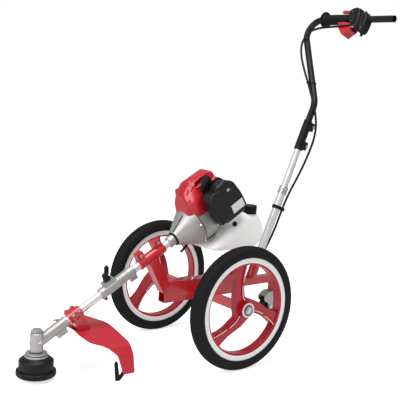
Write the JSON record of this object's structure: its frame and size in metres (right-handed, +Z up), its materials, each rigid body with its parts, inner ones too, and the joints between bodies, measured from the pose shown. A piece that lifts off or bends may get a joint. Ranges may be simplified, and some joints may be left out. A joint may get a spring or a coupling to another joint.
{
  "type": "wheeled string trimmer",
  "caption": "Petrol string trimmer on two large spoked wheels, with an inclined drive tube, a guard over its line head, a rear caster and a bent handlebar with a throttle.",
  "frame": {"origin": "on the ground plane under the middle of the box of the whole machine", "axes": "+Z up, +X forward to the trimmer head, +Y to the left of someone who pushes the machine"},
  "size_m": [1.2981, 0.536, 1.1818],
  "materials": {
    "tyre_rubber": "tread",
    "red_wheel": "moulded gloss",
    "bearing_steel": "machined",
    "zinc_steel": "zinc plated",
    "red_paint": "gloss",
    "red_plastic": "gloss",
    "black_plastic": "fine grain",
    "grey_steel": "satin",
    "black_rubber": "matte",
    "bare_aluminium": "anodised",
    "black_paint": "gloss",
    "cast_aluminium": "cast",
    "red_gloss": "gloss",
    "black_gloss": "semi-gloss",
    "dark_steel": "heat-proof matte",
    "white_plastic": "translucent white"
  },
  "bodies": {
    "frame": {"axle_carrier": "red_paint", "axle_rod": "bearing_steel", "frame_fasteners": "zinc_steel", "main_frame": "red_paint", "shaft_sleeve": "red_paint", "rear_beam": "red_paint", "lower_pole": "bare_aluminium", "pole_collar": "black_plastic", "lower_shaft_tube": "bare_aluminium", "upper_shaft_tube": "bare_aluminium", "coupler_body": "cast_aluminium", "gearbox_housing": "cast_aluminium", "guard_shield": "red_plastic", "guard_clamp": "red_paint", "line_cutter": "black_paint", "clutch_housing": "cast_aluminium", "isolator_ring": "black_rubber", "crankcase": "cast_aluminium", "cylinder": "cast_aluminium", "starter_housing": "black_plastic", "engine_cover": "red_gloss", "plug_cap": "black_rubber", "carburettor": "cast_aluminium", "filter_cover": "black_gloss", "fuel_tank": "white_plastic", "muffler": "dark_steel", "control_cable": "black_rubber"},
    "wheel_left": {"tyre_left": "tyre_rubber", "rim_left": "red_wheel", "wheel_bearings_left": "bearing_steel"},
    "wheel_right": {"tyre_right": "tyre_rubber", "rim_right": "red_wheel", "wheel_bearings_right": "bearing_steel"},
    "caster_swivel": {"caster_fork": "grey_steel", "caster_axle": "zinc_steel"},
    "caster_roller": {"caster_wheel": "black_rubber"},
    "handle": {"upper_pole": "bare_aluminium", "bar_clamp": "black_paint", "handle_fasteners": "zinc_steel", "handlebar": "black_paint", "grip": "black_rubber", "throttle_housing": "black_plastic"},
    "trigger": {"trigger": "red_plastic"},
    "lock_lever": {"lock_lever": "red_plastic"},
    "stop_switch": {"stop_switch": "red_plastic"},
    "beam_knob": {"beam_knob": "black_plastic"},
    "coupler_knob": {"coupler_knob": "black_plastic"},
    "coupler_pin": {"coupler_pin": "zinc_steel"},
    "tank_cap": {"tank_cap": "black_plastic"},
    "choke_lever": {"choke_lever": "black_plastic"},
    "starter_handle": {"starter_handle": "black_plastic"},
    "piston": {"piston": "cast_aluminium"},
    "crank": {"crankshaft": "bearing_steel"},
    "head": {"output_shaft": "bearing_steel", "arbor_flange": "zinc_steel", "head_housing": "black_plastic"},
    "bump": {"bump_knob": "black_plastic", "line_spool": "black_plastic"},
    "drive_shaft": {"lower_drive_shaft": "bearing_steel", "upper_drive_shaft": "bearing_steel"}
  },
  "joints": [
    {"name": "wheel_left_spin", "type": "hinge", "parent": "frame", "child": "wheel_left", "pos_m": [-0.00484, 0.2335, 0.2], "axis": [0, 1, 0], "continuous": true},
    {"name": "wheel_right_spin", "type": "hinge", "parent": "frame", "child": "wheel_right", "pos_m": [-0.00484, -0.2335, 0.2], "axis": [0, 1, 0], "continuous": true},
    {"name": "caster_swivel", "type": "hinge", "parent": "frame", "child": "caster_swivel", "pos_m": [-0.34784, 0, 0.15], "axis": [0, 0, 1], "continuous": true},
    {"name": "caster_wheel_spin", "type": "hinge", "parent": "caster_swivel", "child": "caster_roller", "pos_m": [-0.32984, 0, 0.106], "axis": [0, 1, 0], "continuous": true},
    {"name": "pole_slide", "type": "slide", "parent": "frame", "child": "handle", "axis": [-0.3795, 0, 0.9252], "range_m": [-0.14, 0], "deforming": ["control_cable"]},
    {"name": "trigger_squeeze", "type": "hinge", "parent": "handle", "child": "trigger", "pos_m": [-0.60626, 0.034, 1.1158], "axis": [-0.9252, 0, -0.3795], "range_deg": [0, 14], "stiffness_Nm_per_rad": 0.8, "springref_deg": -5.73},
    {"name": "lock_press", "type": "hinge", "parent": "handle", "child": "lock_lever", "pos_m": [-0.62762, 0.03, 1.16789], "axis": [0.9252, 0, 0.3795], "range_deg": [0, 5], "stiffness_Nm_per_rad": 0.5, "springref_deg": -5.73},
    {"name": "stop_switch_slide", "type": "slide", "parent": "handle", "child": "stop_switch", "axis": [0, 1, 0], "range_m": [0, 0.006]},
    {"name": "beam_knob_turn", "type": "hinge", "parent": "frame", "child": "beam_knob", "pos_m": [-0.14584, 0, 0.25], "axis": [0, 0, 1], "continuous": true},
    {"name": "coupler_knob_turn", "type": "hinge", "parent": "frame", "child": "coupler_knob", "pos_m": [0.36061, 0, 0.28664], "axis": [0.5, 0, 0.866], "continuous": true},
    {"name": "coupler_pin_press", "type": "slide", "parent": "frame", "child": "coupler_pin", "axis": [0.5, 0, 0.866], "range_m": [0, 0.003], "stiffness_N_per_m": 800, "springref_m": -0.001},
    {"name": "tank_cap_turn", "type": "hinge", "parent": "frame", "child": "tank_cap", "pos_m": [-0.15684, 0.062, 0.48], "axis": [0, 0, 1], "continuous": true},
    {"name": "choke_turn", "type": "hinge", "parent": "frame", "child": "choke_lever", "pos_m": [-0.07827, 0.06, 0.52848], "axis": [0, 1, 0], "range_deg": [-60, 0]},
    {"name": "starter_pull", "type": "slide", "parent": "frame", "child": "starter_handle", "axis": [-0.866, 0, 0.5], "range_m": [0, 0.25], "stiffness_N_per_m": 20, "springref_m": -0.05},
    {"name": "piston_stroke", "type": "slide", "parent": "frame", "child": "piston", "axis": [0.5, 0, 0.866], "range_m": [0, 0.028]},
    {"name": "crank_spin", "type": "hinge", "parent": "frame", "child": "crank", "pos_m": [-0.02139, 0, 0.461], "axis": [-0.866, 0, 0.5], "continuous": true},
    {"name": "head_spin", "type": "hinge", "parent": "frame", "child": "head", "pos_m": [0.58916, 0, 0.08], "axis": [0, 0, 1], "continuous": true},
    {"name": "bump_press", "type": "slide", "parent": "head", "child": "bump", "axis": [0, 0, 1], "range_m": [0, 0.006], "stiffness_N_per_m": 3000, "springref_m": -0.02},
    {"name": "drive_shaft_spin", "type": "hinge", "parent": "frame", "child": "drive_shaft", "pos_m": [0.41596, 0, 0.2085], "axis": [-0.866, 0, 0.5], "continuous": true}
  ],
  "couplings": [
    {"joint": "drive_shaft_spin", "follows": "head_spin", "ratio": -1.4167}
  ]
}
